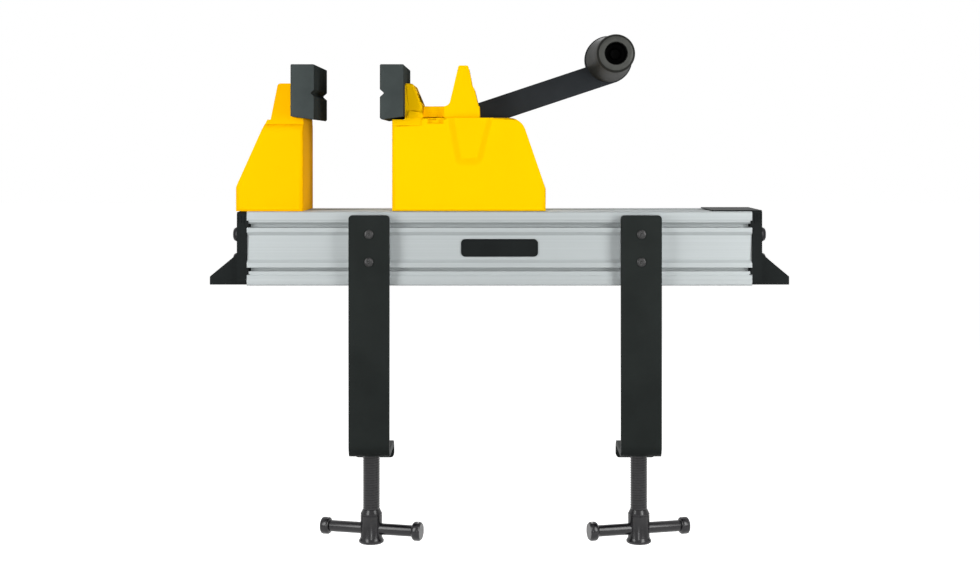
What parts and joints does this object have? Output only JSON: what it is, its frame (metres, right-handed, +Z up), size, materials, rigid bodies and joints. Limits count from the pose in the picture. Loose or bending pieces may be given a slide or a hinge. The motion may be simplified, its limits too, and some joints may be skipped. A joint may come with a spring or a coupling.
{
  "type": "quick-release bench vise",
  "caption": "Quick-release bench vise on an extruded rail, with a cam lever, toothed lock, wide jaw pads and screw clamps under the rail.",
  "frame": {"origin": "middle of the rail's underside", "axes": "+X along the rail from the fixed jaw to the lever end, -Y towards the user and the clamp straps, +Z up"},
  "size_m": [0.4068, 0.1193, 0.3603],
  "materials": {
    "anodised_rail": "satin anodised extrusion",
    "black_plastic": "moulded, slightly glossy",
    "black_screw": "blackened steel",
    "yellow_body": "moulded, semi-gloss",
    "jaw_pad": "moulded hard rubber",
    "zinc_steel": "zinc plated",
    "hardened_steel": "hardened and oiled",
    "spring_steel": "spring wire",
    "shoe_plastic": "moulded nylon",
    "black_steel": "black powder coat",
    "grip_plastic": "moulded, satin"
  },
  "bodies": {
    "rail_assembly": {"rail": "anodised_rail", "left_end_cap": "black_plastic", "right_end_cap": "black_plastic", "left_cap_screws": "black_screw", "right_cap_screws": "black_screw", "fixed_jaw": "yellow_body", "fixed_jaw_pad": "jaw_pad", "fixed_pad_screws": "zinc_steel", "fixed_jaw_anchor": "zinc_steel", "anchor_screws": "zinc_steel", "rack": "hardened_steel", "rack_screws": "zinc_steel"},
    "moving_jaw_assembly": {"moving_jaw": "yellow_body", "mechanism_cover": "yellow_body", "cover_screws": "zinc_steel", "moving_jaw_pad": "jaw_pad", "moving_pad_screws": "zinc_steel", "slide_plate": "zinc_steel", "slide_plate_screws": "zinc_steel", "front_guide_shoe": "shoe_plastic", "rear_guide_shoe": "shoe_plastic", "guide_shoe_screws": "zinc_steel", "pivot_pin": "hardened_steel", "near_pawl_spring": "spring_steel", "far_pawl_spring": "spring_steel"},
    "lever": {"lever_arm": "black_steel", "grip_spindle": "zinc_steel", "grip_washer": "black_screw", "grip_screw": "black_screw"},
    "grip": {"grip_sleeve": "grip_plastic"},
    "pawl": {"locking_pawl": "hardened_steel"},
    "left_clamp": {"left_clamp_strap": "black_steel", "left_clamp_slider": "zinc_steel", "left_clamp_rivets": "black_screw", "left_clamp_nut": "black_steel"},
    "left_pad": {"left_swivel_pad": "black_steel"},
    "left_screw": {"left_clamp_screw": "black_steel"},
    "left_bar": {"left_tommy_bar": "black_steel", "left_tommy_cap": "black_steel"},
    "right_clamp": {"right_clamp_strap": "black_steel", "right_clamp_slider": "zinc_steel", "right_clamp_rivets": "black_screw", "right_clamp_nut": "black_steel"},
    "right_pad": {"right_swivel_pad": "black_steel"},
    "right_screw": {"right_clamp_screw": "black_steel"},
    "right_bar": {"right_tommy_bar": "black_steel", "right_tommy_cap": "black_steel"}
  },
  "joints": [
    {"name": "jaw_slide", "type": "slide", "parent": "rail_assembly", "child": "moving_jaw_assembly", "axis": [1, 0, 0], "range_m": [-0.045, 0.115]},
    {"name": "lever_pivot", "type": "hinge", "parent": "moving_jaw_assembly", "child": "lever", "pos_m": [-0.022, 0, 0.1176], "axis": [0, 1, 0], "range_deg": [-60, 45]},
    {"name": "grip_spin", "type": "hinge", "parent": "lever", "child": "grip", "pos_m": [0.07827, 0, 0.15991], "axis": [0, -1, 0], "continuous": true},
    {"name": "pawl_slide", "type": "slide", "parent": "moving_jaw_assembly", "child": "pawl", "axis": [0, 0, 1], "range_m": [-0.0035, 0.0047], "deforming": ["near_pawl_spring", "far_pawl_spring"]},
    {"name": "left_clamp_slide", "type": "slide", "parent": "rail_assembly", "child": "left_clamp", "axis": [1, 0, 0], "range_m": [-0.067, 0.05]},
    {"name": "left_pad_rise", "type": "slide", "parent": "left_clamp", "child": "left_pad", "axis": [0, 0, 1], "range_m": [-0.0316, 0.0351]},
    {"name": "left_screw_spin", "type": "hinge", "parent": "left_pad", "child": "left_screw", "pos_m": [-0.0909, -0.018, -0.0617], "axis": [0, 0, 1], "range_deg": [-6480, 7200]},
    {"name": "left_bar_slide", "type": "slide", "parent": "left_screw", "child": "left_bar", "axis": [0.9659, -0.2588, 0], "range_m": [-0.0225, 0.0225]},
    {"name": "right_clamp_slide", "type": "slide", "parent": "rail_assembly", "child": "right_clamp", "axis": [1, 0, 0], "range_m": [-0.057, 0.059]},
    {"name": "right_pad_rise", "type": "slide", "parent": "right_clamp", "child": "right_pad", "axis": [0, 0, 1], "range_m": [-0.0316, 0.0351]},
    {"name": "right_screw_spin", "type": "hinge", "parent": "right_pad", "child": "right_screw", "pos_m": [0.0988, -0.018, -0.0617], "axis": [0, 0, 1], "range_deg": [-6480, 7200]},
    {"name": "right_bar_slide", "type": "slide", "parent": "right_screw", "child": "right_bar", "axis": [-0.9659, -0.2588, 0], "range_m": [-0.0225, 0.0225]}
  ],
  "couplings": [
    {"joint": "pawl_slide", "follows": "lever_pivot", "m_per_rad": -0.0044},
    {"joint": "left_pad_rise", "follows": "left_screw_spin", "m_per_rad": 0.00027852},
    {"joint": "right_pad_rise", "follows": "right_screw_spin", "m_per_rad": 0.00027852}
  ]
}
